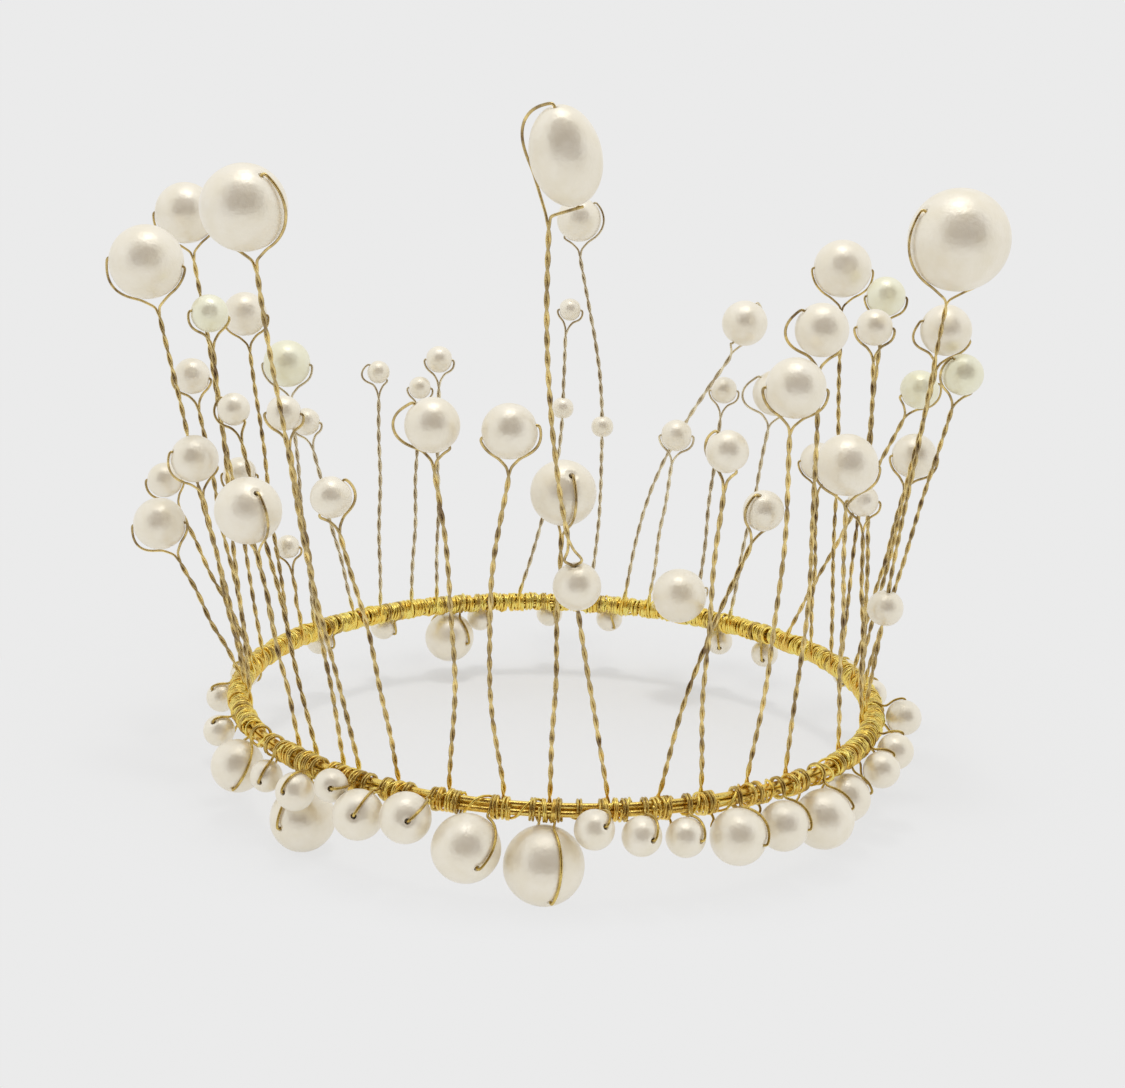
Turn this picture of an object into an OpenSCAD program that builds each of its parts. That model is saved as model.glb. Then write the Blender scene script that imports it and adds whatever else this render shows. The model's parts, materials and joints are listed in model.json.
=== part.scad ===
// Wire crown: a round hoop of gold wire, pearls on twisted wire stems that rise from it,
// and a fringe of pearls tied round its rim. Millimetres, +Z up, origin at the hoop's centre.

/* [Hoop] */
// Diameter of the hoop, to the middle of its bundle of wires
hoop_d = 126; // [118:1:140]
// Diameter of each of the three wires in the hoop
hoop_wire_d = 1.2; // [1:0.05:1.4]
// Gap between neighbouring wires of the hoop
hoop_wire_gap = 0.1; // [0.05:0.05:0.2]

/* [Fine wire] */
// Diameter of the fine wire that holds every pearl
wire_d = 0.5; // [0.4:0.05:0.6]
// Turns that a stem's tail takes round the hoop
tail_turns = 1.25; // [1:0.25:1.5]
// Step of those turns along the hoop
tail_step = 1; // [1:0.05:1.3]
// Drop from a pearl to the fork where its two strands meet
fork_drop = 1.8; // [1.5:0.1:2.5]

/* [Pearls] */
// Pearl size A, the smallest
pearl_a = 5; // [4:0.5:6]
// Pearl size B
pearl_b = 6; // [5:0.5:6.5]
// Pearl size C
pearl_c = 7; // [6:0.5:7.5]
// Pearl size D
pearl_d = 8; // [7:0.5:8.5]
// Pearl size E
pearl_e = 9; // [8:0.5:9.5]
// Pearl size F
pearl_f = 10; // [9:0.5:10.5]
// Pearl size G
pearl_g = 11; // [10:0.5:11.5]
// Pearl size H
pearl_h = 12; // [11:0.5:12.5]
// Pearl size I
pearl_i = 14; // [13:0.5:14.5]
// Pearl size J, the largest
pearl_j = 19; // [17:0.5:20]
// Width of the oval pearl at the crown's tip
oval_w = 11; // [10:0.5:13]
// Length of the oval pearl
oval_l = 15.5; // [14:0.5:18]

/* [Fits] */
// Room all round the wire in a pearl's bore
bore_clearance = 0.3; // [0.3:0.05:0.4]
// Gap between a pearl and the strands that go round it
loop_clearance = 0.35; // [0.3:0.05:0.5]
// Gap between the fine wire's turns and the hoop's wires
turn_clearance = 0.2; // [0.1:0.05:0.3]
// Gap between a rim pearl and the turns on the hoop
seat_clearance = 0.3; // [0.2:0.05:0.5]

/* [Hidden] */
hoop_r = hoop_d / 2;
wire_r = wire_d / 2;
// A stem is two strands twisted together, so it is two wires across
stem_r = wire_d;
// Middle of each hoop wire from the middle of the bundle, three wires in a triangle
hoop_wire_offset = (hoop_wire_d + hoop_wire_gap) / sqrt(3);
bundle_r = hoop_wire_offset + hoop_wire_d / 2;
// Points per turn of fine wire, and its sides
turn_points = 8;
wire_sides = 5;
// Middle line of the turns of fine wire round the bundle, and their outside
turn_r = (bundle_r + turn_clearance + wire_r) / cos(180 / turn_points);
winding_r = turn_r + wire_r;
bore_r = wire_r + bore_clearance;
stem_bore_r = stem_r + bore_clearance;
// Middle line of a strand from the face of its pearl
strand_gap = loop_clearance + wire_r;
// Angle on the pearl between the fork and the start of each strand
fork_spread = 22;
// Largest step of a strand's arc over a pearl, and how far its corners stand out for it
arc_step = 26;
arc_out = 1 / cos(arc_step / 2);
// Height over which a tail thickens into its stem
neck = 3;
// Points along a stem that bows, and share of the way back to the fork where a strand ends
bow_points = 9;
strand_end = 0.5;
// Angle on a rim pearl where its tie leaves the pearl, and the tie's turn round the hoop
tie_start = 62;
tie_turn = [165, 122, 79, 42];
// Least arc of a tie at the mouth of its pearl that faces the hoop
least_arc = 12;
// Facets of a full circle, and steps along the oval pearl's profile
$fn = 96;
oval_steps = 24;

gold = [0.80, 0.62, 0.22];
ivory = [0.95, 0.93, 0.88];

// Stems: node of the pearl, foot angle on the hoop, then the pearl's angle, distance outside the
// hoop, height above it and size, then the bore's angle and rise, and how far the stem bows aside
NAME = 0;
FOOT = 1;
ANGLE = 2;
OUT = 3;
HEIGHT = 4;
SIZE = 5;
BORE = 6;
RISE = 7;
BOW = 8;
FRONT_STEMS = [
    ["front_pearl_1", 232.5, 226, 6, 65, pearl_b, 0, 0, 0],
    ["front_pearl_2", 236, 231, 20, 101, pearl_i, 322, 53, -2],
    ["front_pearl_3", 244, 237, 8, 53, pearl_c, 20, 55, 1],
    ["front_pearl_4", 253, 253, 10, 68, pearl_e, 180, 50, 2],
    ["front_pearl_5", 262, 263, 10, 68, pearl_e, 0, 15, -3],
    ["front_pearl_6", 269.5, 270, 0, 56, pearl_g, 290, 45, 0],
    ["tip_pearl", 279, 269, 17, 112, oval_w, 205, 74, -3],
    ["front_pearl_7", 287, 302, 1, 52, pearl_c, 230, 60, -2],
    ["front_pearl_8", 295, 291, 10, 65, pearl_c, 160, 60, -1],
    ["front_pearl_9", 304, 300, 11, 75, pearl_f, 0, 0, 2],
    ["front_pearl_10", 313, 308, 5, 83, pearl_e, 180, 45, 2],
];
RIGHT_STEMS = [
    ["right_pearl_1", 330, 322, 0, 57, pearl_g, 0, 0, 0],
    ["right_pearl_2", 10, 10, 8, 48, pearl_e, 0, 0, 0],
    ["right_pearl_3", 2, 0, 13, 67, pearl_d, 200, 55, 0],
    ["right_pearl_4", 6, 5, 10.5, 74.5, pearl_f, 180, 20, 0],
    ["great_pearl", 351, 351, 9, 94, pearl_j, 200, 35, 0],
    ["right_pearl_5", 16, 22, 6, 78, pearl_d, 0, 0, 0],
    ["right_pearl_6", 358, 357, -5, 76, pearl_c, 0, 0, 0],
    ["right_pearl_7", 346, 349, -5, 44, pearl_b, 0, 0, 0],
    ["right_pearl_8", 20, 33, 4, 82, pearl_h, 0, 0, 0],
    ["right_pearl_9", 28, 34, 2, 41, pearl_d, 0, 0, 0],
    ["right_pearl_10", 37, 20, 14, 59, pearl_d, 0, 20, 0],
];
BACK_STEMS = [
    ["back_pearl_1", 52, 50, 8, 52, pearl_f, 180, 45, 0],
    ["back_pearl_2", 60, 62, 12, 50, pearl_b, 0, 0, 0],
    ["back_pearl_3", 64, 61, -8.5, 7, pearl_h, 0, 20, 0],
    ["back_pearl_4", 71, 67, 0, 41, pearl_c, 0, 0, 0],
    ["back_pearl_5", 77, 58, 10, 66, pearl_f, 20, 60, 5],
    ["back_pearl_6", 83.5, 89, 13, 86, pearl_f, 0, 50, -4],
    ["back_pearl_7", 99, 90, 10, 66, pearl_a, 0, 0, -3],
    ["back_pearl_8", 117, 114, 8, 55, pearl_b, 0, 0, 0],
    ["back_pearl_9", 123, 118, 7, 49, pearl_a, 0, 0, 0],
    ["back_pearl_10", 130.5, 126, 8, 53, pearl_a, 180, 40, 0],
    ["back_pearl_11", 137, 139, 12, 43, pearl_b, 0, 0, 0],
    ["back_pearl_12", 149, 145, 10, 57, pearl_f, 0, 0, 0],
];
LEFT_STEMS = [
    ["left_pearl_1", 153, 153, 2, 20, pearl_a, 0, 0, 0],
    ["left_pearl_2", 158, 155, 11, 69, pearl_e, 0, 0, 0],
    ["left_pearl_3", 163, 158, 10, 36, pearl_c, 180, 0, 0],
    ["left_pearl_4", 170, 168, 15, 91, pearl_h, 180, 0, 0],
    ["left_pearl_5", 174, 172, 18, 38, pearl_c, 180, 0, 0],
    ["left_pearl_6", 178, 178, 10, 61, pearl_c, 180, 5, 0],
    ["left_pearl_7", 183.5, 184, 17, 84, pearl_i, 180, 5, 2],
    ["left_pearl_8", 187, 186, 15, 34, pearl_f, 180, -5, 0],
    ["left_pearl_9", 191, 190, 8, 48, pearl_e, 200, 20, 0],
    ["left_pearl_10", 196, 192, 5, 76, pearl_c, 200, 10, 0],
    ["left_pearl_11", 221, 215, 5, 45, pearl_h, 300, 45, 0],
    ["left_pearl_12", 226, 201, 2, 60, pearl_b, 160, 40, 0],
];
STEMS = concat(FRONT_STEMS, RIGHT_STEMS, BACK_STEMS, LEFT_STEMS);

// Pearls threaded on a stem: node, node of the pearl at that stem's top, share of the way up, size
STEM_BEADS = [
    ["tip_stem_pearl", "tip_pearl", 0.39, pearl_d],
    ["great_stem_pearl", "great_pearl", 0.25, pearl_c],
    ["back_stem_pearl_1", "back_pearl_6", 0.5, pearl_a],
    ["back_stem_pearl_2", "back_pearl_7", 0.72, pearl_a],
];

// Rim pearls: angle round the hoop, angle below the hoop's plane, size, lean of the bore along the
// hoop, dip of the bore away from it, and how far the pearl hangs off its seat
RIM_SMALL = [
    [180.5, 40, pearl_b, 25, 0, 0],
    [199, 30, pearl_b, 25, 0, 0],
    [217, 60, pearl_b, 40, 30, 0],
    [227.5, 35, pearl_c, 10, 40, 0],
    [235.5, -5, pearl_b, 80, 50, 0],
    [276, 10, pearl_c, 40, 40, 0],
    [283, 27, pearl_c, 35, 50, 0],
    [290, 42, pearl_c, 40, 35, 0],
    [335, 36, pearl_c, 30, 0, 0],
    [341, 20, pearl_c, 30, 0, 0],
    [354, 5, pearl_c, 30, 0, 0],
    [13, 38, pearl_b, 30, 0, 0],
    [24, 34, pearl_b, 30, 0, 0],
    [45, 70, pearl_b, 30, 0, 0],
    [56, 70, pearl_b, 30, 0, 0],
    [80, 50, pearl_b, 30, 0, 0],
    [92, 45, pearl_b, 30, 0, 0],
    [106, 55, pearl_b, 30, 0, 0],
    [126.5, 50, pearl_b, 30, 0, 0],
    [142, 50, pearl_b, 30, 0, 0],
    [166.5, 45, pearl_b, 30, 0, 0],
];
RIM_MEDIUM = [
    [207, 62, pearl_f, 85, 50, 0],
    [241, 26, pearl_e, 30, 40, 0],
    [249, 12, pearl_e, 50, 50, 0],
    [298, 38, pearl_f, 55, 45, 0],
    [307, 46, pearl_e, 50, 35, 0],
    [317, 60, pearl_g, 35, 0, 0],
    [327, 75, pearl_e, 30, 0, 0],
    [113, 84, pearl_g, 30, 0, 0],
];
RIM_LARGE = [
    [223.5, 92, pearl_h, 8, 0, 3],
    [258, 40, pearl_h, 60, 50, 0],
    [269, 72, pearl_i, 25, 60, 0],
];
RIM = concat(RIM_SMALL, RIM_MEDIUM, RIM_LARGE);

// Vector helpers
function unit(v) = v / norm(v);
function mix(a, b, t) = a + (b - a) * t;
function polar(angle, radius, z) = [radius * cos(angle), radius * sin(angle), z];
function along(angle) = [-sin(angle), cos(angle), 0];
function direction(angle, rise) = polar(angle, cos(rise), sin(rise));

// A round wire along points, with a radius at each: [vertices, triangles]
function tangents(p) = [
    for (i = [0:len(p) - 1])
        unit(unit(p[min(i + 1, len(p) - 1)] - p[i] + (i == len(p) - 1 ? p[i] - p[i - 1] : [0, 0, 0]))
            + unit(p[i] - p[max(i - 1, 0)] + (i == 0 ? p[1] - p[0] : [0, 0, 0])))
];
function square_to(t) = unit(cross(t, abs(t[2]) < 0.8 ? [0, 0, 1] : [1, 0, 0]));
function carried(n, t) = unit(n - (n * t) * t);
function normals(t) = [
    for (i = 0, n = square_to(t[0]); i < len(t); i = i + 1, n = i < len(t) ? carried(n, t[i]) : n) n
];
function ring(p, t, n, r) = [
    for (k = [0:wire_sides - 1])
        p + r * (cos(360 * k / wire_sides) * n + sin(360 * k / wire_sides) * cross(t, n))
];
function wire_points(p, r) =
    let (t = tangents(p), n = normals(t))
    [for (i = [0:len(p) - 1]) each ring(p[i], t[i], n[i], r[i])];
function wire_faces(rings, first) = [
    for (k = [1:wire_sides - 2]) [first, first + k, first + k + 1],
    for (i = [0:rings - 2], k = [0:wire_sides - 1])
        let (a = first + i * wire_sides + k, b = first + i * wire_sides + (k + 1) % wire_sides)
        each [[a, a + wire_sides, b], [b, a + wire_sides, b + wire_sides]],
    let (last = first + (rings - 1) * wire_sides)
        for (k = [1:wire_sides - 2]) [last, last + k + 1, last + k],
];

// Several separate wires as one shape; each wire is [points, radii]
module wires(list) {
    firsts = [for (i = 0, at = 0; i < len(list); at = at + len(list[i][0]), i = i + 1) at];
    polyhedron(
        points = [for (w = list) each wire_points(w[0], w[1])],
        faces = [for (i = [0:len(list) - 1]) each wire_faces(len(list[i][0]), firsts[i] * wire_sides)]
    );
}

// Where a stem's pearl is, and its half sizes along and across its bore
function is_oval(s) = s[NAME] == "tip_pearl";
function pearl_centre(s) = polar(s[ANGLE], hoop_r + s[OUT], s[HEIGHT]);
function half_along(s) = is_oval(s) ? oval_l / 2 : s[SIZE] / 2;
function half_across(s) = s[SIZE] / 2;

// Point on a turn round the hoop: angle on the hoop, angle round the bundle, shift along the hoop
function turn_point(angle, round, shift) =
    polar(angle, hoop_r + turn_r * cos(round), turn_r * sin(round)) + shift * along(angle);

// A stem leaves its turns where it is tangent to them, on the hoop's inner side
function leave_angle(s) = 180 - atan2(s[OUT], s[HEIGHT]);
function stem_foot(s) = turn_point(s[FOOT], leave_angle(s), 0);
function stem_axis(s) = unit(pearl_centre(s) - stem_foot(s));
function fork_reach(s) =
    let (c = stem_axis(s) * direction(s[BORE], s[RISE]))
    1 / sqrt(pow(c / half_along(s), 2) + (1 - c * c) / pow(half_across(s), 2));
function stem_fork(s) = pearl_centre(s) - stem_axis(s) * (fork_reach(s) + fork_drop);

// The tail: turns round the hoop that end where the stem leaves
function tail_path(s) =
    let (n = ceil(tail_turns * turn_points))
    [for (i = [0:n - 1])
        let (back = tail_turns * (1 - i / n))
        turn_point(s[FOOT], leave_angle(s) + 360 * back, -tail_step * back)];

// The shaft: from the foot to the fork, straight or bowed to one side
function shaft_run(s, share) =
    let (axis = stem_axis(s), third = norm(stem_fork(s) - stem_foot(s)) / 3)
    let (low = stem_foot(s) + axis * min(neck, third), high = stem_fork(s) - axis * min(fork_drop, third))
    mix(low, high, share) + s[BOW] * along(s[ANGLE]) * sin(180 * share);
function shaft_path(s) =
    let (n = s[BOW] == 0 ? 1 : bow_points)
    [stem_foot(s), for (i = [0:n]) shaft_run(s, i / n), stem_fork(s)];

// Ends of the straight run of a shaft that carries a threaded pearl, and the pearl's place on it
function bead_run(s, share) =
    let (n = bow_points, i = floor(share * n))
    [shaft_run(s, i / n), shaft_run(s, (i + 1) / n)];
function bead_centre(run, share) =
    let (n = bow_points, i = floor(share * n))
    mix(run[0], run[1], share * n - i);

// A point over the pearl at an angle from the bore's upper mouth, in the plane of bore and stem
function over_pearl(s, angle) =
    let (bore = direction(s[BORE], s[RISE]), down = -stem_axis(s))
    let (side = unit(down - (down * bore) * bore))
    pearl_centre(s) + bore * (half_along(s) + strand_gap) * arc_out * cos(angle)
        + side * (half_across(s) + strand_gap) * arc_out * sin(angle);

// The loop: up one side of the pearl, through its bore and back down the other side
function loop_path(s) =
    let (fork = acos(-stem_axis(s) * direction(s[BORE], s[RISE])))
    let (up = fork - fork_spread, down = 180 - fork - fork_spread)
    let (m = max(1, ceil(up / arc_step)), n = max(1, ceil(down / arc_step)))
    [
        for (i = [0:m]) over_pearl(s, up * (1 - i / m)),
        for (i = [0:n]) over_pearl(s, 180 - down * i / n),
        mix(stem_fork(s), over_pearl(s, 180 - down), strand_end),
    ];

// One unbroken wire: tail, shaft and loop
function stem_wire(s) =
    let (tail = tail_path(s), shaft = shaft_path(s), loop = loop_path(s))
    [
        concat(tail, shaft, loop),
        [
            for (p = tail) wire_r,
            for (i = [0:len(shaft) - 1]) i == 0 || i == len(shaft) - 1 ? wire_r : stem_r,
            for (p = loop) wire_r,
        ],
    ];

// Place of a rim pearl: it lies against the turns on the hoop
function rim_axis(p) = polar(p[0], cos(p[1]), -sin(p[1]));
function rim_across(p) = polar(p[0], sin(p[1]), cos(p[1]));
function rim_reach(p) = winding_r + seat_clearance + p[5] + p[2] / 2;
function rim_centre(p) = polar(p[0], hoop_r, 0) + rim_reach(p) * rim_axis(p);
function rim_bore(p) =
    cos(p[4]) * (cos(p[3]) * rim_across(p) + sin(p[3]) * along(p[0])) + sin(p[4]) * rim_axis(p);

// A point over a rim pearl at an angle from the bore's outer mouth, in the plane of bore and hoop
function over_rim(p, angle) =
    let (bore = rim_bore(p), side = unit((rim_axis(p) * bore) * bore - rim_axis(p)))
    rim_centre(p) + (p[2] / 2 + strand_gap) * arc_out * (cos(angle) * bore + sin(angle) * side);
function round_hoop(p, angle, shift) =
    polar(p[0], hoop_r, 0) + shift * along(p[0])
        + turn_r * (cos(angle) * rim_axis(p) + sin(angle) * rim_across(p));

// One tie: over the hoop, down the pearl's outer face, through its bore and back inside the hoop
function tie_wire(p) =
    let (outer = tie_start + p[4], inner = max(tie_start - p[4], least_arc))
    let (m = ceil(outer / arc_step), n = ceil(inner / arc_step))
    let (shift = (p[2] / 2 + strand_gap) * cos(tie_start) * sin(p[3]) + wire_r)
    let (path = [
        for (a = tie_turn) round_hoop(p, a, shift),
        for (i = [0:m]) over_rim(p, outer * (1 - i / m)),
        for (i = [0:n]) over_rim(p, 180 - inner * i / n),
        for (i = [len(tie_turn) - 1:-1:0]) round_hoop(p, -tie_turn[i], -shift),
    ])
    [path, [for (q = path) wire_r]];

// The least gap of a tail to its own turns, measured between points a half turn or more apart
function tail_gap(s) =
    let (p = concat(tail_path(s), [stem_foot(s)]))
    min([for (i = [0:len(p) - 1], j = [0:len(p) - 1]) if (j - i > turn_points / 2) norm(p[j] - p[i])])
        - wire_d;
echo(least_gap_of_a_tail = min([for (s = STEMS) tail_gap(s)]));

// A body turned so that its own Z lies along a direction
module aim(place, way) {
    translate(place) rotate([0, acos(way[2] / norm(way)), atan2(way[1], way[0])]) children();
}

module hoop_wires() {
    color(gold) for (k = [0:2])
        rotate_extrude()
            translate([hoop_r + hoop_wire_offset * cos(90 + 120 * k), hoop_wire_offset * sin(90 + 120 * k)])
                circle(d = hoop_wire_d);
}

module front_stems() {
    color(gold) wires([for (s = FRONT_STEMS) stem_wire(s)]);
}

module right_stems() {
    color(gold) wires([for (s = RIGHT_STEMS) stem_wire(s)]);
}

module back_stems() {
    color(gold) wires([for (s = BACK_STEMS) stem_wire(s)]);
}

module left_stems() {
    color(gold) wires([for (s = LEFT_STEMS) stem_wire(s)]);
}

module rim_ties() {
    color(gold) wires([for (p = RIM) tie_wire(p)]);
}

// A round pearl with a bore right through it
module drilled_pearl(d, r) {
    difference() {
        sphere(d = d);
        cylinder(r = r, h = d * 2, center = true);
    }
}

// The oval pearl, turned about its bore
module oval_pearl() {
    rotate_extrude() difference() {
        polygon([for (i = [0:oval_steps])
            let (a = 180 * i / oval_steps - 90) [oval_w / 2 * cos(a), oval_l / 2 * sin(a)]]);
        translate([-bore_r, -oval_l]) square([bore_r * 2, oval_l * 2]);
    }
}

module stem_pearl(s) {
    color(ivory) aim(pearl_centre(s), direction(s[BORE], s[RISE]))
        if (is_oval(s)) oval_pearl();
        else drilled_pearl(s[SIZE], bore_r);
}

module stem_bead(b) {
    color(ivory) for (s = STEMS) if (s[NAME] == b[1])
        let (run = bead_run(s, b[2]))
            aim(bead_centre(run, b[2]), run[1] - run[0]) drilled_pearl(b[3], stem_bore_r);
}

module rim_pearls(list) {
    color(ivory) for (p = list) aim(rim_centre(p), rim_bore(p)) drilled_pearl(p[2], bore_r);
}

hoop_wires();
front_stems();
right_stems();
back_stems();
left_stems();
rim_ties();
rim_pearls(RIM_SMALL);  // rim_pearls_small
rim_pearls(RIM_MEDIUM);  // rim_pearls_medium
rim_pearls(RIM_LARGE);  // rim_pearls_large
for (s = STEMS) stem_pearl(s);
for (b = STEM_BEADS) stem_bead(b);
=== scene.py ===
# Pearl wire crown: the looks of every piece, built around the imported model. Lengths in metres.
import json

import bpy
import numpy as np
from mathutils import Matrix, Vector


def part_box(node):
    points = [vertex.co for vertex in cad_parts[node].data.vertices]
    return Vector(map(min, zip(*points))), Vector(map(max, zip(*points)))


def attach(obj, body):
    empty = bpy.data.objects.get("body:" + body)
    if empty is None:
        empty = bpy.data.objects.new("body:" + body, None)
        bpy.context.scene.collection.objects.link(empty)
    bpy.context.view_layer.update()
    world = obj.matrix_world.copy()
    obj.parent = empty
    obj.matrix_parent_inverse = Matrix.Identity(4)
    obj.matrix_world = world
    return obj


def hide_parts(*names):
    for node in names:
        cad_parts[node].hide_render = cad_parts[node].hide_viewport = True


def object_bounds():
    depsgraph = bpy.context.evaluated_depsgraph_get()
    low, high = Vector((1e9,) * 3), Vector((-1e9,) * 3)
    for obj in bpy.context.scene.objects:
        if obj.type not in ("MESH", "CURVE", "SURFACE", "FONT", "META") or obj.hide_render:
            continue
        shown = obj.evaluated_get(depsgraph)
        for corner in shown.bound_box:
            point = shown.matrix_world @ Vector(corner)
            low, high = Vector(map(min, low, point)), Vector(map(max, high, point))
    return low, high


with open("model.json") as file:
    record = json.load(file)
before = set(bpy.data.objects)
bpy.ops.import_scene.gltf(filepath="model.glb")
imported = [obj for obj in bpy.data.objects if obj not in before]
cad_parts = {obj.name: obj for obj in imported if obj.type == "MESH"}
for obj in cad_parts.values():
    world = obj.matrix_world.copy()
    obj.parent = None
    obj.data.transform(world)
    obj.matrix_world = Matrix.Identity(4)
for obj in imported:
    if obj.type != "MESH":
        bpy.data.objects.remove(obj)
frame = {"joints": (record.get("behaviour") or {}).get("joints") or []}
cad_low, cad_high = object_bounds()

# The hoop is three lengths of gold wire bent round together, lying side by side in a triangle.
# They are bare along the front, where their straight lines show between the knots of the stems,
# and each of them wanders a little, as wire bent by hand does.
HOOP_R = 0.063
HOOP_WIRE_R = 0.0006
HOOP_WIRE_OFFSET = 0.00075
HOOP_WANDER = 0.00007
HOOP_STATIONS = 600
HOOP_SIDES = 12
HOOP_SEED = 11
HOOP_WAVES = (3, 7, 13)
# Spread of a random phase in radians, about a full turn
PHASE = 6.3


def unit(v):
    """Vectors divided by their own lengths."""
    return v / np.linalg.norm(v, axis=-1, keepdims=True)


def by_the_hoop(angle, reach, turn):
    """Points beside the hoop, angles in degrees: the circle of the hoop at `angle`, plus `reach`
    along the direction that stands `turn` round the bundle, from straight outwards to straight up."""
    a, b = np.radians(angle), np.radians(turn)
    r = HOOP_R + reach * np.cos(b)
    return np.stack(np.broadcast_arrays(r * np.cos(a), r * np.sin(a), reach * np.sin(b)), axis=-1)


def wire_tube(path, radius, sides, closed=False):
    """A circle of `sides` points carried along a path without twist: vertices, quads and end caps.
    A first normal is set square to each tangent, the angle that it turns against its neighbour,
    carried over by the least rotation, is summed along the path, and that sum is taken out."""
    ahead, behind = np.roll(path, -1, axis=0), np.roll(path, 1, axis=0)
    if not closed:
        ahead[-1], behind[0] = path[-1], path[0]
    t = unit(ahead - behind)
    s = np.where(t[:, 2] < 0, -1.0, 1.0)
    k = -1 / (s + t[:, 2])
    n = np.stack([1 + s * t[:, 0] ** 2 * k, s * t[:, 0] * t[:, 1] * k, -s * t[:, 0]], axis=1)
    b = np.cross(t, n)
    share = np.sum(n[:-1] * t[1:], axis=1) / (1 + np.sum(t[:-1] * t[1:], axis=1))
    carried = n[:-1] - share[:, None] * (t[:-1] + t[1:])
    turn = np.arctan2(np.sum(carried * b[1:], axis=1), np.sum(carried * n[1:], axis=1))
    turn = np.concatenate([[0], np.cumsum(turn)])[:, None]
    n, b = np.cos(turn) * n + np.sin(turn) * b, np.cos(turn) * b - np.sin(turn) * n
    round_angle = 2 * np.pi * np.arange(sides) / sides
    ring = np.cos(round_angle)[:, None] * n[:, None] + np.sin(round_angle)[:, None] * b[:, None]
    verts = (path[:, None] + radius * ring).reshape(-1, 3)
    index = np.arange(len(verts)).reshape(-1, sides)
    nxt = np.roll(index, -1, axis=1)
    up, up_nxt = np.roll(index, -1, axis=0), np.roll(nxt, -1, axis=0)
    quads = np.stack([index, nxt, up_nxt, up], axis=-1)
    quads = (quads if closed else quads[:-1]).reshape(-1, 4)
    caps = np.zeros((0, sides), int) if closed else np.stack([index[0][::-1], index[-1]])
    return verts, quads, caps


def new_piece(name, parts, material):
    """One smooth mesh object from parts of (vertices, quads, caps), each part's numbers moved on."""
    first = np.cumsum([0] + [len(p[0]) for p in parts[:-1]])
    faces = [f for p, at in zip(parts, first) for f in (p[1] + at).tolist() + (p[2] + at).tolist()]
    mesh = bpy.data.meshes.new(name)
    mesh.from_pydata(np.concatenate([p[0] for p in parts]), [], faces)
    mesh.polygons.foreach_set("use_smooth", np.ones(len(faces), bool))
    mesh.materials.append(material)
    piece = bpy.data.objects.new(name, mesh)
    bpy.context.scene.collection.objects.link(piece)
    return piece


def surface_group(name, inputs, outputs):
    """An empty shader node group with named sockets: its tree, its input node and its output node."""
    tree = bpy.data.node_groups.new(name, "ShaderNodeTree")
    for label, kind in inputs:
        tree.interface.new_socket(label, in_out="INPUT", socket_type=kind)
    for label, kind in outputs:
        tree.interface.new_socket(label, in_out="OUTPUT", socket_type=kind)
    return tree, tree.nodes.new("NodeGroupInput"), tree.nodes.new("NodeGroupOutput")


def speckle(tree, scale, detail, low, high):
    """Noise on Object coordinates, with `scale` spots to the metre, spread from `low` to `high`."""
    place = tree.nodes.new("ShaderNodeTexCoord")
    noise = tree.nodes.new("ShaderNodeTexNoise")
    noise.inputs["Scale"].default_value = scale
    noise.inputs["Detail"].default_value = detail
    spread = tree.nodes.new("ShaderNodeMapRange")
    spread.inputs["From Min"].default_value = 0.3
    spread.inputs["From Max"].default_value = 0.7
    spread.inputs["To Min"].default_value = low
    spread.inputs["To Max"].default_value = high
    tree.links.new(place.outputs["Object"], noise.inputs["Vector"])
    tree.links.new(noise.outputs["Fac"], spread.inputs["Value"])
    return spread.outputs["Result"]


def blended(tree, factor, first, second):
    """Colour that goes from one socket to another with the factor."""
    mix = tree.nodes.new("ShaderNodeMix")
    mix.data_type = "RGBA"
    tree.links.new(factor, mix.inputs["Factor"])
    tree.links.new(first, mix.inputs["A"])
    tree.links.new(second, mix.inputs["B"])
    return mix.outputs["Result"]


COLOUR, NUMBER = "NodeSocketColor", "NodeSocketFloat"
# Spots to the metre in the tint, the gloss and the dents of the gold
GOLD_TINT, GOLD_GLOSS, GOLD_DENTS = 420, 1600, 3500
GOLD_ROUGH = (0.2, 0.36)
# Heights between which the colours of what lies on the hoop give way to those of what stands above it
GOLD_LOW, GOLD_HIGH = 0.002, 0.007
drawn_gold, gold_in, gold_out = surface_group(
    "drawn_gold",
    [("Bright", COLOUR), ("Deep", COLOUR), ("Low Bright", COLOUR), ("Low Deep", COLOUR)],
    [("Colour", COLOUR), ("Roughness", NUMBER), ("Height", NUMBER)],
)
gold_tint = speckle(drawn_gold, GOLD_TINT, 3, 0, 1)

gold_place = drawn_gold.nodes.new("ShaderNodeTexCoord")
gold_axes = drawn_gold.nodes.new("ShaderNodeSeparateXYZ")
gold_rise = drawn_gold.nodes.new("ShaderNodeMapRange")
gold_rise.inputs["From Min"].default_value = GOLD_LOW
gold_rise.inputs["From Max"].default_value = GOLD_HIGH
drawn_gold.links.new(gold_place.outputs["Object"], gold_axes.inputs["Vector"])
drawn_gold.links.new(gold_axes.outputs["Z"], gold_rise.inputs["Value"])
gold_low = blended(drawn_gold, gold_tint, gold_in.outputs["Low Bright"], gold_in.outputs["Low Deep"])
gold_high = blended(drawn_gold, gold_tint, gold_in.outputs["Bright"], gold_in.outputs["Deep"])
gold_tone = blended(drawn_gold, gold_rise.outputs["Result"], gold_low, gold_high)
drawn_gold.links.new(gold_tone, gold_out.inputs["Colour"])
drawn_gold.links.new(speckle(drawn_gold, GOLD_GLOSS, 2, *GOLD_ROUGH), gold_out.inputs["Roughness"])
drawn_gold.links.new(speckle(drawn_gold, GOLD_DENTS, 1, 0, 1), gold_out.inputs["Height"])


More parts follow.
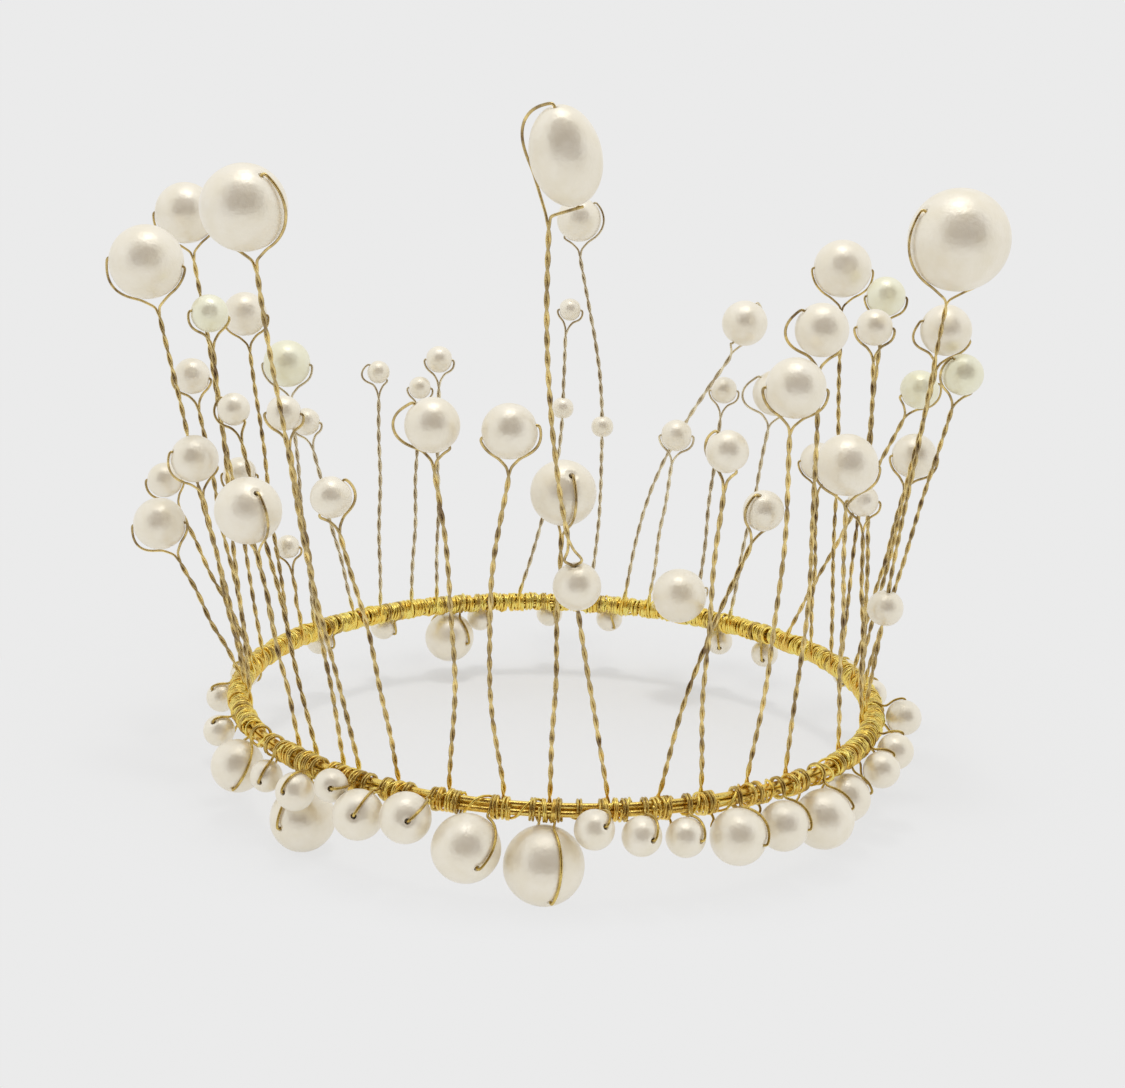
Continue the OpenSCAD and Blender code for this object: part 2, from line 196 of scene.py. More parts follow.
def gold_finish(name, dents, bright, deep, low_bright, low_deep):
    """Metal whose colour and gloss come from the drawn_gold group, with dents `dents` metres deep. The
    low pair of colours is for what lies on the hoop, the other for what stands above it."""
    material = bpy.data.materials.new(name)
    material.use_nodes = True
    tree = material.node_tree
    shader = tree.nodes["Principled BSDF"]
    group = tree.nodes.new("ShaderNodeGroup")
    group.node_tree = drawn_gold
    group.inputs["Bright"].default_value = (*bright, 1)
    group.inputs["Deep"].default_value = (*deep, 1)
    group.inputs["Low Bright"].default_value = (*low_bright, 1)
    group.inputs["Low Deep"].default_value = (*low_deep, 1)
    bump = tree.nodes.new("ShaderNodeBump")
    bump.inputs["Distance"].default_value = dents
    shader.inputs["Metallic"].default_value = 1
    tree.links.new(group.outputs["Height"], bump.inputs["Height"])
    tree.links.new(group.outputs["Colour"], shader.inputs["Base Color"])
    tree.links.new(group.outputs["Roughness"], shader.inputs["Roughness"])
    tree.links.new(bump.outputs["Normal"], shader.inputs["Normal"])
    return material


HOOP_TONES = [(1.0, 0.83, 0.27), (0.92, 0.62, 0.13)]
hoop_gold = gold_finish("hoop_gold", 0.00002, *HOOP_TONES, *HOOP_TONES)
hoop_draw = np.random.default_rng(HOOP_SEED)
hoop_angle = np.linspace(0, 360, HOOP_STATIONS, endpoint=False)
hoop_parts = []
for wire in range(3):
    sway = sum(
        HOOP_WANDER / wave ** 0.5 * np.sin(np.radians(hoop_angle * wave) + hoop_draw.uniform(0, PHASE))
        for wave in HOOP_WAVES
    )
    hoop_path = by_the_hoop(hoop_angle, HOOP_WIRE_OFFSET + sway, 90 + 120 * wire)
    hoop_parts.append(wire_tube(hoop_path, HOOP_WIRE_R, HOOP_SIDES, closed=True))
hoop = new_piece("hoop_wire_bundle", hoop_parts, hoop_gold)
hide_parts("hoop_wires")
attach(hoop, "crown_wire")

# The winding is fine gold wire wrapped round the hoop by hand, close and uneven at the back and the
# sides, with looser wraps crossing over it and one loose wrap along the front. It covers the knots,
# which make it lumpy, and keeps the stems from sliding.
WIRE_R = 0.00025
WIRE_SIDES = 6
TURN_POINTS = 14
TURN_STRAYS = 2
WINDING_SEED = 5
LUMP_HEIGHT = 0.00032
LUMP_WAVES = (47, 71, 103, 139)
# First and last angle, pitch, reach, its unevenness and that of the pitch
WRAPS = [
    (-36, 205, 0.00058, 0.00160, 0.00012, 0.0008),
    (209, -40, 0.0021, 0.00178, 0.00012, 0.0016),
    (-32, 202, 0.0037, 0.00180, 0.00012, 0.0020),
    (206, 322, 0.0064, 0.00172, 0.00010, 0.0030),
]


def uneven(draw, count, knots):
    """A smooth random line of `count` values in -1..1, drawn at `knots` places and joined up."""
    return np.interp(np.linspace(0, knots - 1, count), np.arange(knots), draw.uniform(-1, 1, knots))


def lumps(angle, turn):
    """Height of the knots under the winding: the positive part of a sum of waves along the hoop, each
    leaning round the bundle."""
    waves = [np.sin(np.radians(angle * w + turn) + w) for w in LUMP_WAVES]
    return LUMP_HEIGHT * np.clip(sum(waves) / 2, 0, 1)


def wrap_path(draw, first, last, pitch, reach, rough, stray):
    """A helix round the hoop: the angle along the hoop and the turn round it both grow evenly, while
    the reach and the place along the hoop stray from the even line and rise over the knots."""
    turns = np.radians(abs(last - first)) * HOOP_R / pitch
    count, knots = int(turns * TURN_POINTS), int(turns * TURN_STRAYS)
    share = np.linspace(0, 1, count)
    angle = first + (last - first) * share + np.degrees(stray / HOOP_R) * uneven(draw, count, knots)
    turn = 360 * turns * share
    reach = reach + rough * uneven(draw, count, knots) + lumps(angle, turn)
    return by_the_hoop(angle, reach, turn)


WINDING_TONES = [(1.0, 0.88, 0.28), (1.0, 0.69, 0.12)]
winding_gold = gold_finish("winding_gold", 0.00001, *WINDING_TONES, *WINDING_TONES)
winding_draw = np.random.default_rng(WINDING_SEED)
winding = new_piece(
    "hoop_winding",
    [wire_tube(wrap_path(winding_draw, *wrap), WIRE_R, WIRE_SIDES) for wrap in WRAPS],
    winding_gold,
)
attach(winding, "crown_wire")

# Each stem is one fine gold wire: wound on the hoop, carried up, threaded through a pearl, brought
# back down twisted with itself, and wound on the hoop again. The twist ends in a fork under the
# pearl, where the two strands part to reach the two mouths of its bore.
TURN_R = 0.00195
NECK = 0.003
FORK_DROP = 0.0018
TWIST_PITCH = 0.0064
STRAND_GAP = 0.0004
FORK_SPREAD = 22
TAIL_TURNS = 2.6
TAIL_STEP = 0.00053
TAIL_ROUGH = 0.00015
BOW_POINTS = 9
SWAY = 0.00022
STRAND_STEP = 0.0003
LEAST_STATIONS = 40
LOOP_POINTS = 30
TAIL_POINTS = 24
# How a wire is bent: width of its rounded corners, longest and sharpest step along it
BEND = (0.0005, 0.0007, 0.3)
BELL_STEPS = 4
# How far the longer strand of a loop stands off its pearl: slack of most loops, then the slackest
SLACK = 0.0003
SLACK_LOOPS = {
    "front_pearl_4": 0.0018, "back_pearl_1": 0.0020, "front_pearl_10": 0.0012, "right_pearl_4": 0.0012,
    "tip_pearl": 0.0012, "left_pearl_8": 0.0009, "left_pearl_7": 0.0007, "back_pearl_10": 0.0009,
}
# How far a stem leans aside at its fork, from what share of its height, and the angle from the fork at
# which its longer strand meets the pearl
LEANS = {"tip_pearl": (-0.0033, 0.44, 68)}
# How far the strands part just over a pearl that is threaded on them, and how far up the stem
PARTINGS = {"tip_pearl": (0.0018, 0.0464)}
PART_ABOVE, PART_BELOW = 0.0014, 0.0005
OVAL_HALF_ALONG = 0.00775
OVAL_HALF_ACROSS = 0.0055
# The pearl on top, the angle of the foot on the hoop, and how far the stem bows aside
STEMS = {
    "front": [
        ("front_pearl_1", 232.5, 0), ("front_pearl_2", 236, -0.002), ("front_pearl_3", 244, 0.001),
        ("front_pearl_4", 253, 0.002), ("front_pearl_5", 262, -0.003), ("front_pearl_6", 269.5, 0),
        ("tip_pearl", 279, -0.003), ("front_pearl_7", 287, -0.002), ("front_pearl_8", 295, -0.001),
        ("front_pearl_9", 304, 0.002), ("front_pearl_10", 313, 0.002),
    ],
    "right": [
        ("right_pearl_1", 330, 0), ("right_pearl_2", 10, 0), ("right_pearl_3", 2, 0),
        ("right_pearl_4", 6, 0), ("great_pearl", 351, 0), ("right_pearl_5", 16, 0),
        ("right_pearl_6", 358, 0), ("right_pearl_7", 346, 0), ("right_pearl_8", 20, 0),
        ("right_pearl_9", 28, 0), ("right_pearl_10", 37, 0),
    ],
    "back": [
        ("back_pearl_1", 52, 0), ("back_pearl_2", 60, 0), ("back_pearl_3", 64, 0),
        ("back_pearl_4", 71, 0), ("back_pearl_5", 77, 0.005), ("back_pearl_6", 83.5, -0.004),
        ("back_pearl_7", 99, -0.003), ("back_pearl_8", 117, 0), ("back_pearl_9", 123, 0),
        ("back_pearl_10", 130.5, 0), ("back_pearl_11", 137, 0), ("back_pearl_12", 149, 0),
    ],
    "left": [
        ("left_pearl_1", 153, 0), ("left_pearl_2", 158, 0), ("left_pearl_3", 163, 0),
        ("left_pearl_4", 170, 0), ("left_pearl_5", 174, 0), ("left_pearl_6", 178, 0),
        ("left_pearl_7", 183.5, 0.002), ("left_pearl_8", 187, 0), ("left_pearl_9", 191, 0),
        ("left_pearl_10", 196, 0), ("left_pearl_11", 221, 0), ("left_pearl_12", 226, 0),
    ],
}
spin = {joint["child"]: joint for joint in frame["joints"]}


def pearl_seat(node):
    """Centre, bore direction and half sizes along and across the bore of a pearl, from its joint
    and its box."""
    low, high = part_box(node)
    half = max(high - low) / 2
    along, across = (OVAL_HALF_ALONG, OVAL_HALF_ACROSS) if node == "tip_pearl" else (half, half)
    return np.array(spin[node]["pos_m"]), unit(np.array(spin[node]["axis"])), along, across


def hoop_tangent(angle):
    """Unit direction along the hoop at an angle in degrees."""
    a = np.radians(angle)
    return np.array([-np.sin(a), np.cos(a), 0])


def bent_wire(path, round_off, longest, sharpest):
    """A drawn line as wire takes it: corners rounded by a bell-shaped mean of width `round_off`, cut
    off at three widths, then stations spaced so that none is `longest` apart or turns more than
    `sharpest` radians."""
    step = round_off / BELL_STEPS
    cut = 3 * BELL_STEPS
    length = np.concatenate([[0], np.cumsum(np.linalg.norm(np.diff(path, axis=0), axis=1))])
    at = np.arange(0, length[-1], step)
    line = np.stack([np.interp(at, length, path[:, i]) for i in range(3)], axis=1)
    bell = np.exp(-0.5 * (np.arange(-cut, cut + 1) / BELL_STEPS) ** 2)
    padded = np.pad(line, ((cut, cut), (0, 0)), mode="reflect", reflect_type="odd")
    line = np.stack([np.convolve(padded[:, i], bell / bell.sum(), "valid") for i in range(3)], axis=1)
    way = unit(np.gradient(line, axis=0))
    bend = np.linalg.norm(np.diff(way, axis=0), axis=1)
    cost = np.concatenate([[0], np.cumsum(step / longest + bend / sharpest)])
    pick = np.linspace(0, cost[-1], int(np.ceil(cost[-1])) + 1)
    return np.stack([np.interp(pick, cost, line[:, i]) for i in range(3)], axis=1)


def stem_path(node, foot_angle, bow):
    """The wire of one stem. Its middle line runs from the foot, a point of the turns on the hoop
    where they point at the pearl, to the fork below the pearl, with a bow, a slight sway and any lean
    aside, which grows to the fork by a cube law. The strands are that line plus and minus a wire's
    radius that turns once in each pitch, and part in a bell shape over a threaded pearl. The loop is
    an ellipse about the pearl in the plane of bore and stem, and the tails are helices round the hoop
    on both sides of the foot."""
    centre, bore, half_along, half_across = pearl_seat(node)
    outward = np.hypot(centre[0], centre[1]) - HOOP_R
    leave = 180 - np.degrees(np.arctan2(outward, centre[2]))
    foot = by_the_hoop(foot_angle, TURN_R, leave)
    way = unit(centre - foot)
    slant = way @ bore
    reach = 1 / np.sqrt((slant / half_along) ** 2 + (1 - slant ** 2) / half_across ** 2)
    run = np.linalg.norm(centre - foot) - reach - FORK_DROP
    fork_angle = np.degrees(np.arccos(-slant))

    # Strands, from foot to fork
    aside = unit(bore - slant * way)
    square = np.cross(way, aside)
    side_on = hoop_tangent(foot_angle)
    start = np.arctan2(-side_on @ square, -side_on @ aside) + 2 * np.pi * round(run / TWIST_PITCH)
    d = np.linspace(0, run, max(LEAST_STATIONS, int(run / STRAND_STEP)))[:, None]
    share = np.clip((d - NECK) / (run - NECK - FORK_DROP), 0, 1)
    bow_at = np.linspace(0, 1, BOW_POINTS + 1)
    bow_out = np.interp(share, bow_at, np.sin(np.pi * bow_at))
    pearl_angle = np.degrees(np.arctan2(centre[1], centre[0]))
    middle = foot + way * d + bow * bow_out * hoop_tangent(pearl_angle)
    sway = np.sin(np.pi * share) * np.sin(2 * np.pi * (1.7 * share + foot_angle / 77))
    middle = middle + SWAY * sway * (aside + 0.5 * square)
    lean, lean_from, spread = LEANS.get(node, (0, 0, FORK_SPREAD))
    leaning = lean * (1 - np.clip((1 - share) / (1 - lean_from), 0, 1) ** 3)
    middle = middle + leaning * hoop_tangent(pearl_angle)
    twist = start * (1 - d / run)
    offset = WIRE_R * 1.04 * (np.cos(twist) * aside + np.sin(twist) * square)
    part, part_at = PARTINGS.get(node, (0, 0))
    part_off = (d - part_at) / np.where(d > part_at, PART_ABOVE, PART_BELOW)
    offset = offset + part * np.exp(-part_off ** 2) * hoop_tangent(pearl_angle)

    # Loop over the pearl and through its bore, angles from the bore's upper mouth
    down = unit(-way + slant * bore)
    up_arc = np.linspace(fork_angle - spread, 0, LOOP_POINTS)
    down_arc = np.linspace(180, fork_angle + FORK_SPREAD, LOOP_POINTS)
    arc = np.radians(np.concatenate([up_arc, down_arc]))[:, None]
    slack = np.zeros((2 * LOOP_POINTS, 1))
    swell = np.sin(np.pi * np.linspace(0, 1, LOOP_POINTS)) ** 2
    slack[:LOOP_POINTS, 0] = SLACK_LOOPS.get(node, SLACK) * swell
    loop = centre + bore * (half_along + STRAND_GAP + slack) * np.cos(arc)
    loop = loop + down * (half_across + STRAND_GAP + slack) * np.sin(arc)

    # Tails, from their ends to the foot
    back = np.linspace(TAIL_TURNS, 0, int(TAIL_TURNS * TAIL_POINTS))
    tail_reach = TURN_R + TAIL_ROUGH * np.sin(7 * back + foot_angle)
    turns = by_the_hoop(foot_angle, tail_reach, leave + 360 * back)
    loose = TAIL_ROUGH * np.sin(4 * back + 2 * foot_angle) * np.minimum(back, 1)
    shift = (WIRE_R + TAIL_STEP * back + loose)[:, None] * side_on
    line = np.concatenate([
        turns - shift, middle + offset, loop, (middle - offset)[::-1], (turns + shift)[::-1],
    ])
    return bent_wire(line, *BEND)


KNOT_TONES = [(1.0, 0.82, 0.25), (0.88, 0.57, 0.12)]
stem_gold = gold_finish("stem_gold", 0.00001, (1.0, 0.79, 0.34), (0.25, 0.17, 0.09), *KNOT_TONES)
# The stems at the back are of the same gold as the others, painted paler and duller: painted light for
# the haze over the far side of the crown
back_painted_haze_gold = gold_finish("back_painted_haze_gold", 0.00001, (0.96, 0.87, 0.63), (0.55, 0.45, 0.29), *WINDING_TONES)
for side, rows in STEMS.items():
    stems = new_piece(
        side + "_stem_wires",
        [wire_tube(stem_path(*row), WIRE_R, WIRE_SIDES) for row in rows],
        back_painted_haze_gold if side == "back" else stem_gold,
    )
    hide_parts(side + "_stems")
    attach(stems, "crown_wire")

# The pearls are pressed from cotton and coated with a pearly lacquer, so they are nearly round, a
# little grainy, and drilled right through. Each one hangs loose on its wire and can turn about it.
BORE_R = 0.00055
STEM_BORE_R = 0.0008
LIP_DEPTH = 0.035
LIP_WIDTH = 0.8
BORE_ROWS = 6
PEARL_UNEVEN = 0.003
PEARL_WAVES = (2, 3, 5)
PEARL_SEED = 23
# Spots to the metre in the tint, the gloss and the grain of the lacquer
COTTON_TINT, COTTON_GLOSS, COTTON_GRAIN = 260, 900, 1000
COTTON_ROUGH = (0.34, 0.46)
GRAIN_DEPTH = 0.00003
CREAM_PEARLS = {"right_pearl_5", "right_pearl_10", "back_pearl_12", "left_pearl_10", "right_pearl_3"}


def pearl_skin(draw, centre, bore, half_along, half_across, bore_r):
    """A drilled pearl, a closed band swept round its bore: an ellipse from mouth to mouth that dips
    at the lips, then straight back through the bore. A few slow waves make it a little uneven."""
    cols = 2 * int(20 + 2600 * half_across)
    rows = cols * 2 // 3
    mouth = np.arcsin(bore_r / half_across)
    sweep = mouth + (np.pi - 2 * mouth) * (0.5 - 0.5 * np.cos(np.pi * np.linspace(0, 1, rows)))
    out = half_across * np.sin(sweep)
    lip = 1 - LIP_DEPTH * np.exp(-((out - bore_r) / (LIP_WIDTH * bore_r)) ** 2)
    up = half_along * np.cos(sweep) * lip
    wall = np.linspace(up[-1], up[0], BORE_ROWS + 2)[1:-1]
    out, up = np.concatenate([out, np.full(BORE_ROWS, bore_r)]), np.concatenate([up, wall])
    e1 = unit(np.cross(bore, [0.3, 0.5, 0.8]))
    e2 = np.cross(bore, e1)
    turn = 2 * np.pi * np.arange(cols) / cols
    ring = np.cos(turn)[:, None] * e1 + np.sin(turn)[:, None] * e2
    grid = up[:, None, None] * bore + out[:, None, None] * ring
    way = grid / half_across
    wave = sum(
        np.sin(way @ (unit(draw.normal(size=3)) * speed) + draw.uniform(0, PHASE))
        for speed in PEARL_WAVES
    )
    skin = (np.arange(len(out)) < rows)[:, None]
    grid = grid * (1 + PEARL_UNEVEN * wave * skin)[..., None]
    index = np.arange(len(out) * cols).reshape(-1, cols)
    lower, nxt = np.roll(index, -1, axis=0), np.roll(index, -1, axis=1)
    quads = np.stack([index, lower, np.roll(lower, -1, axis=1), nxt], axis=-1).reshape(-1, 4)
    return (centre + grid).reshape(-1, 3), quads, np.zeros((0, 4), int)


cotton_pearl, cotton_in, cotton_out = surface_group(
    "cotton_pearl",
    [("Light", COLOUR), ("Shade", COLOUR)],
    [("Colour", COLOUR), ("Roughness", NUMBER), ("Height", NUMBER)],
)
cotton_tint = speckle(cotton_pearl, COTTON_TINT, 4, 0, 1)
cotton_tone = blended(cotton_pearl, cotton_tint, cotton_in.outputs["Light"], cotton_in.outputs["Shade"])
cotton_pearl.links.new(cotton_tone, cotton_out.inputs["Colour"])
cotton_gloss = speckle(cotton_pearl, COTTON_GLOSS, 3, *COTTON_ROUGH)
cotton_pearl.links.new(cotton_gloss, cotton_out.inputs["Roughness"])
cotton_pearl.links.new(speckle(cotton_pearl, COTTON_GRAIN, 2, 0, 1), cotton_out.inputs["Height"])


def pearl_finish(name, light, shade):
    """Satin lacquer over cotton: a grainy pale body under a strong, soft and even reflection."""
    material = bpy.data.materials.new(name)
    material.use_nodes = True
    tree = material.node_tree
    shader = tree.nodes["Principled BSDF"]
    group = tree.nodes.new("ShaderNodeGroup")
    group.node_tree = cotton_pearl
    group.inputs["Light"].default_value = (*light, 1)
    group.inputs["Shade"].default_value = (*shade, 1)
    bump = tree.nodes.new("ShaderNodeBump")
    bump.inputs["Distance"].default_value = GRAIN_DEPTH
    shader.inputs["Metallic"].default_value = 0.5
    shader.inputs["Sheen Weight"].default_value = 0.35
    shader.inputs["Sheen Roughness"].default_value = 0.3
    shader.inputs["IOR"].default_value = 2
    tree.links.new(group.outputs["Height"], bump.inputs["Height"])
    tree.links.new(group.outputs["Colour"], shader.inputs["Base Color"])
    tree.links.new(group.outputs["Roughness"], shader.inputs["Roughness"])
    tree.links.new(bump.outputs["Normal"], shader.inputs["Normal"])
    return material


white_pearl = pearl_finish("white_pearl", (0.96, 0.90, 0.77), (0.91, 0.84, 0.68))
cream_pearl = pearl_finish("cream_pearl", (0.95, 0.93, 0.75), (0.90, 0.87, 0.64))
pearl_draw = np.random.default_rng(PEARL_SEED)
for node in [row[0] for rows in STEMS.values() for row in rows]:
    pearl = new_piece(
        node + "_drilled",
        [pearl_skin(pearl_draw, *pearl_seat(node), BORE_R)],
        cream_pearl if node in CREAM_PEARLS else white_pearl,
    )
    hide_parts(node)
    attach(pearl, node)

# Four pearls are threaded on a stem part of the way up. Their bores take both strands, so they are
# wider, and they too can turn on their wire.
for node in ["tip_stem_pearl", "great_stem_pearl", "back_stem_pearl_1", "back_stem_pearl_2"]:
    bead = new_piece(
        node + "_drilled", [pearl_skin(pearl_draw, *pearl_seat(node), STEM_BORE_R)], white_pearl
    )
    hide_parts(node)
    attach(bead, node)

# The rim pearls lie against the outside of the hoop, just below it, in a close row along the front
# and further apart at the back. They are drilled like the others and tied down tight.
RIM_GAP = 0.0003
WINDING_R = 0.0022
# Angle round the hoop, angle below the hoop's plane, diameter, lean of the bore along the hoop, dip
# of the bore away from the hoop, and how far the pearl hangs off its seat, with angles in degrees
RIM_PEARLS = {
    "small": [
        (180.5, 40, 0.006, 25, 0, 0), (199, 30, 0.006, 25, 0, 0), (217, 60, 0.006, 40, 30, 0),
        (227.5, 35, 0.007, 10, 40, 0), (235.5, -5, 0.006, 80, 50, 0), (276, 10, 0.007, 40, 40, 0),
        (283, 27, 0.007, 35, 50, 0), (290, 42, 0.007, 40, 35, 0), (335, 36, 0.007, 30, 0, 0),
        (341, 20, 0.007, 30, 0, 0), (354, 5, 0.007, 30, 0, 0), (13, 38, 0.006, 30, 0, 0),
        (24, 34, 0.006, 30, 0, 0), (45, 70, 0.006, 30, 0, 0), (56, 70, 0.006, 30, 0, 0),
        (80, 50, 0.006, 30, 0, 0), (92, 45, 0.006, 30, 0, 0), (106, 55, 0.006, 30, 0, 0),
        (126.5, 50, 0.006, 30, 0, 0), (142, 50, 0.006, 30, 0, 0), (166.5, 45, 0.006, 30, 0, 0),
    ],
    "medium": [
        (207, 62, 0.010, 85, 50, 0), (241, 26, 0.009, 30, 40, 0), (249, 12, 0.009, 50, 50, 0),
        (298, 38, 0.010, 55, 45, 0), (307, 46, 0.009, 50, 35, 0), (317, 60, 0.011, 35, 0, 0),
        (327, 75, 0.009, 30, 0, 0), (113, 84, 0.011, 30, 0, 0),
    ],
    "large": [(223.5, 92, 0.012, 8, 0, 0.003), (258, 40, 0.012, 60, 50, 0), (269, 72, 0.014, 25, 60, 0)],
}


def rim_seat(angle, below, size, lean, dip, hang):
    """Centre, bore, direction out of the hoop, direction across it and the hoop's own point for a rim
    pearl, which lies `below` degrees under the hoop's plane and clears the winding by a small gap."""
    a, b, c, d = np.radians([angle, below, lean, dip])
    out = np.array([np.cos(a) * np.cos(b), np.sin(a) * np.cos(b), -np.sin(b)])
    across = np.array([np.cos(a) * np.sin(b), np.sin(a) * np.sin(b), np.cos(b)])
    on_hoop = by_the_hoop(angle, 0, 0)
    flat = np.cos(c) * across + np.sin(c) * hoop_tangent(angle)
    bore = np.cos(d) * flat + np.sin(d) * out
    return on_hoop + out * (WINDING_R + RIM_GAP + hang + size / 2), bore, out, across, on_hoop


for size_name, rows in RIM_PEARLS.items():
    parts = []
    for row in rows:
        centre, bore = rim_seat(*row)[:2]
        parts.append(pearl_skin(pearl_draw, centre, bore, row[2] / 2, row[2] / 2, BORE_R))
    rim = new_piece(f"rim_{size_name}_pearls_drilled", parts, white_pearl)
    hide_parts(f"rim_pearls_{size_name}")
    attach(rim, "crown_wire")

# Each rim pearl is tied by its own short piece of fine wire, which comes over the hoop and down the
# outside of the pearl, goes up through the bore, and is wound off on the hoop at both ends.
TIE_START = 62
LEAST_ARC = 12
TIE_TURN = 42
TIE_WRAP = 700
TIE_STEP = 0.00055
TIE_ARC_POINTS = 24
TIE_WRAP_POINTS = 60


def tie_path(angle, below, size, lean, dip, hang):
    """The wire of one tie: a helix round the hoop, an arc over the pearl to the outer mouth of the
    bore, the bore, an arc from the inner mouth, and a helix back the other way."""
    centre, bore, out, across, on_hoop = rim_seat(angle, below, size, lean, dip, hang)
    side = unit((out @ bore) * bore - out)
    ball = size / 2 + STRAND_GAP
    outer = np.linspace(TIE_START + dip, 0, TIE_ARC_POINTS)
    inner = 180 - np.linspace(0, max(TIE_START - dip, LEAST_ARC), TIE_ARC_POINTS)
    arc = np.radians(np.concatenate([outer, inner]))[:, None]
    loop = centre + ball * (np.cos(arc) * bore + np.sin(arc) * side)
    shift = ball * np.cos(np.radians(TIE_START)) * np.sin(np.radians(lean)) + WIRE_R
    wrap = np.linspace(TIE_WRAP, TIE_TURN, TIE_WRAP_POINTS)[:, None]
    slide = shift + TIE_STEP * (wrap - TIE_TURN) / 360
    turn = np.radians(wrap)
    over = TURN_R * (np.cos(turn) * out + np.sin(turn) * across) + slide * hoop_tangent(angle)
    under = TURN_R * (np.cos(turn) * out - np.sin(turn) * across) - slide * hoop_tangent(angle)
    line = np.concatenate([on_hoop + over, loop, (on_hoop + under)[::-1]])
    return bent_wire(line, *BEND)


TIE_TONES = [(0.85, 0.65, 0.20), (0.42, 0.27, 0.07)]
tie_gold = gold_finish("tie_gold", 0.00001, *TIE_TONES, *TIE_TONES)
ties = new_piece(
    "rim_tie_wires",
    [wire_tube(tie_path(*row), WIRE_R, WIRE_SIDES) for rows in RIM_PEARLS.values() for row in rows],
    tie_gold,
)
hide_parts("rim_ties")
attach(ties, "crown_wire")

# The studio: a wide pale floor that keeps a faint shadow, pale surroundings, a large soft light
# overhead with a small lamp in it that draws the shadow, and a dark card above the camera that only
# the pearls and the wire reflect.
PALE = 0.83
FLOOR_PALE = 0.78
FLOOR_HALF = 20
FLOOR_DROP = 0.0001
SHADOW_SHARE = 0.9
SHADOW_REACH = 0.13
SHADOW_MIDDLE = (0, 0.05, 0)


def round_sheet(name, centre, right, up, material):
    """A flat round sheet for the studio: its centre plus two half widths times cosine and sine."""
    turn = np.radians(np.arange(0, 360, 5))[:, None]
    mesh = bpy.data.meshes.new(name)
    mesh.from_pydata(centre + np.cos(turn) * right + np.sin(turn) * up, [], [range(len(turn))])
    mesh.materials.append(material)
    sheet = bpy.data.objects.new(name, mesh)
    bpy.context.scene.collection.objects.link(sheet)
    return sheet


pale_floor = bpy.data.materials.new("pale_floor")
pale_floor.use_nodes = True
tree = pale_floor.node_tree
tree.nodes["Principled BSDF"].inputs["Base Color"].default_value = (FLOOR_PALE, FLOOR_PALE, FLOOR_PALE, 1)
tree.nodes["Principled BSDF"].inputs["Roughness"].default_value = 0.9
glow = tree.nodes.new("ShaderNodeEmission")
glow.inputs["Color"].default_value = (PALE, PALE, PALE, 1)
place = tree.nodes.new("ShaderNodeTexCoord")
far = tree.nodes.new("ShaderNodeVectorMath")
far.operation = "DISTANCE"
far.inputs[1].default_value = SHADOW_MIDDLE
fade = tree.nodes.new("ShaderNodeMapRange")
fade.inputs["From Min"].default_value = 0
fade.inputs["From Max"].default_value = SHADOW_REACH
fade.inputs["To Min"].default_value = 1 - SHADOW_SHARE
fade.inputs["To Max"].default_value = 1
seen = tree.nodes.new("ShaderNodeLightPath")
shown = tree.nodes.new("ShaderNodeMath")
shown.operation = "MAXIMUM"
mask = tree.nodes.new("ShaderNodeMath")
mask.operation = "MULTIPLY"
blend = tree.nodes.new("ShaderNodeMixShader")
tree.links.new(place.outputs["Object"], far.inputs[0])
tree.links.new(far.outputs["Value"], fade.inputs["Value"])
tree.links.new(fade.outputs["Result"], mask.inputs[0])
tree.links.new(seen.outputs["Is Camera Ray"], shown.inputs[0])
tree.links.new(seen.outputs["Is Glossy Ray"], shown.inputs[1])
tree.links.new(shown.outputs["Value"], mask.inputs[1])
tree.links.new(mask.outputs["Value"], blend.inputs["Fac"])
tree.links.new(tree.nodes["Principled BSDF"].outputs["BSDF"], blend.inputs[1])
tree.links.new(glow.outputs["Emission"], blend.inputs[2])
tree.links.new(blend.outputs["Shader"], tree.nodes["Material Output"].inputs["Surface"])
round_sheet(
    "floor",
    np.array([0, 0, cad_low[2] - FLOOR_DROP]),
    np.array([FLOOR_HALF, 0, 0]),
    np.array([0, FLOOR_HALF, 0]),
    pale_floor,
)

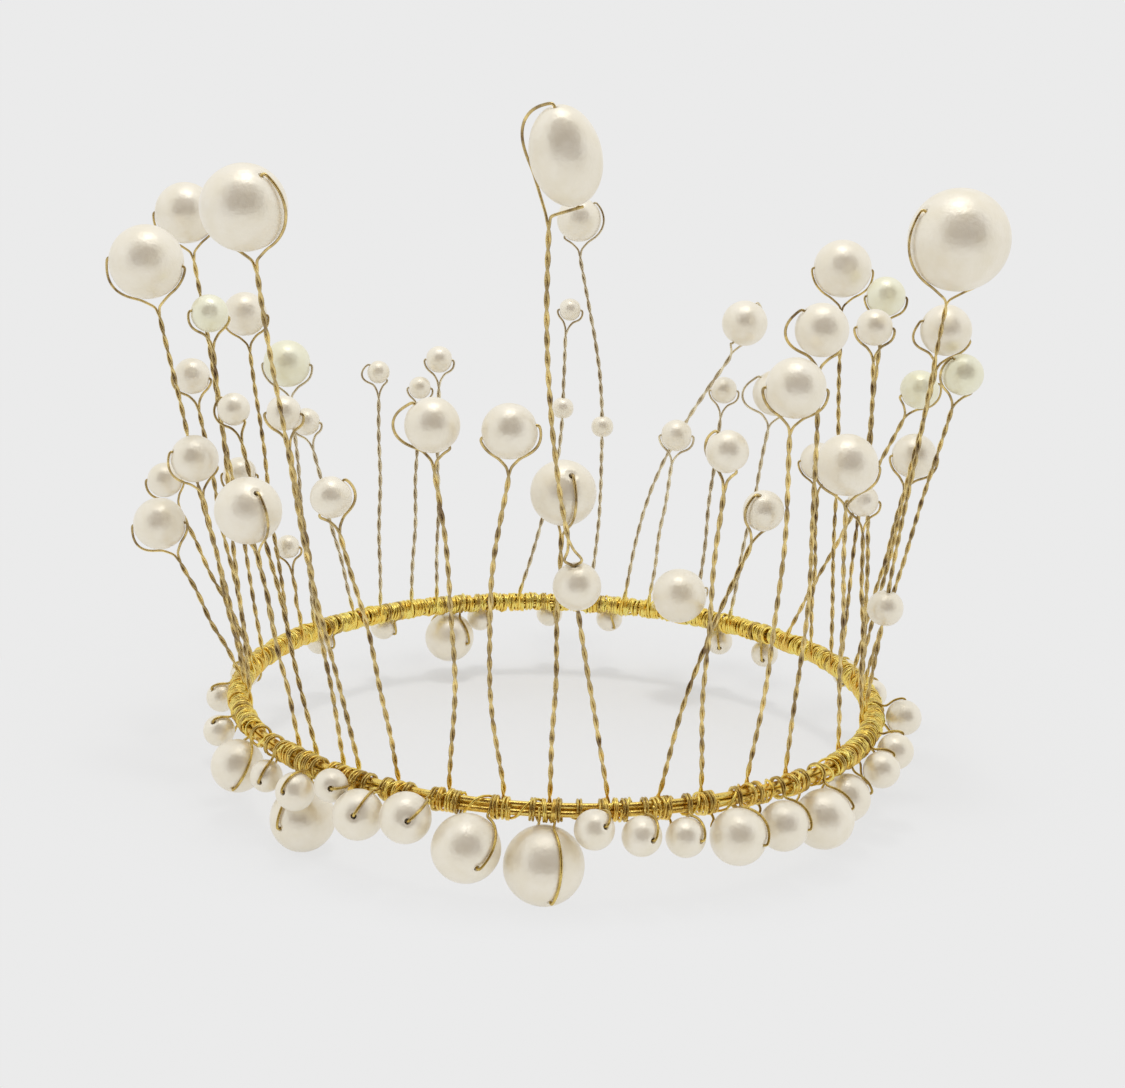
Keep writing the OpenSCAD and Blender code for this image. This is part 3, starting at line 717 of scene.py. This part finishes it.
dark_card = bpy.data.materials.new("dark_card")
dark_card.use_nodes = True
dark_card.node_tree.nodes["Principled BSDF"].inputs["Base Color"].default_value = (0.15, 0.08, 0.025, 1)
dark_card.node_tree.nodes["Principled BSDF"].inputs["Roughness"].default_value = 1
CARD_RISE, CARD_AWAY, CARD_HALF, CARD_ASIDE = np.radians(28), 0.9, 1.0, 0.2
card_way = np.array([CARD_ASIDE, -np.cos(CARD_RISE), np.sin(CARD_RISE)])
card = round_sheet(
    "card_above_camera",
    card_way * CARD_AWAY,
    np.array([CARD_HALF, 0, 0]),
    np.array([0, np.sin(CARD_RISE), np.cos(CARD_RISE)]) * CARD_HALF,
    dark_card,
)
card.visible_camera = False
card.visible_diffuse = False
card.visible_shadow = False

world = bpy.data.worlds.new("pale_studio")
world.use_nodes = True
world.node_tree.nodes["Background"].inputs["Color"].default_value = (PALE, PALE, PALE, 1)
bpy.context.scene.world = world
bpy.context.scene.view_settings.view_transform = "Standard"
LAMP_PLACE = (0, -0.05, 0.95)
# Width, watts, and whether the lamp shows in reflections
LAMPS = {"overhead_softbox": (0.42, 1.1, True), "shadow_lamp": (0.12, 1.2, False)}
for name, (width, watts, shows) in LAMPS.items():
    lamp = bpy.data.lights.new(name, "AREA")
    lamp.size = width
    lamp.energy = watts
    lamp_object = bpy.data.objects.new(name, lamp)
    lamp_object.location = LAMP_PLACE
    lamp_object.visible_glossy = shows
    bpy.context.scene.collection.objects.link(lamp_object)

# The camera looks at the front from a little above, tilted by two degrees as the photograph is.
AIM = np.array([0.00014, 0, 0.03054])
CAMERA_AWAY, CAMERA_RISE, CAMERA_ROLL = 0.4133, np.radians(14.87), np.radians(2)
camera = bpy.data.objects.new("camera", bpy.data.cameras.new("camera"))
camera.data.lens = 67.2
camera.data.sensor_width = 36
camera.data.sensor_fit = "HORIZONTAL"
camera.data.clip_start = 0.01
toward = np.array([0, -np.cos(CAMERA_RISE), np.sin(CAMERA_RISE)])
level = np.array([1.0, 0, 0])
upright = np.cross(toward, level)
rolled = np.cos(CAMERA_ROLL) * level + np.sin(CAMERA_ROLL) * upright
seat = np.eye(4)
seat[:3, 0], seat[:3, 1], seat[:3, 2] = rolled, np.cross(toward, rolled), toward
seat[:3, 3] = AIM + toward * CAMERA_AWAY
camera.matrix_world = seat.T
bpy.context.scene.collection.objects.link(camera)
bpy.context.scene.camera = camera
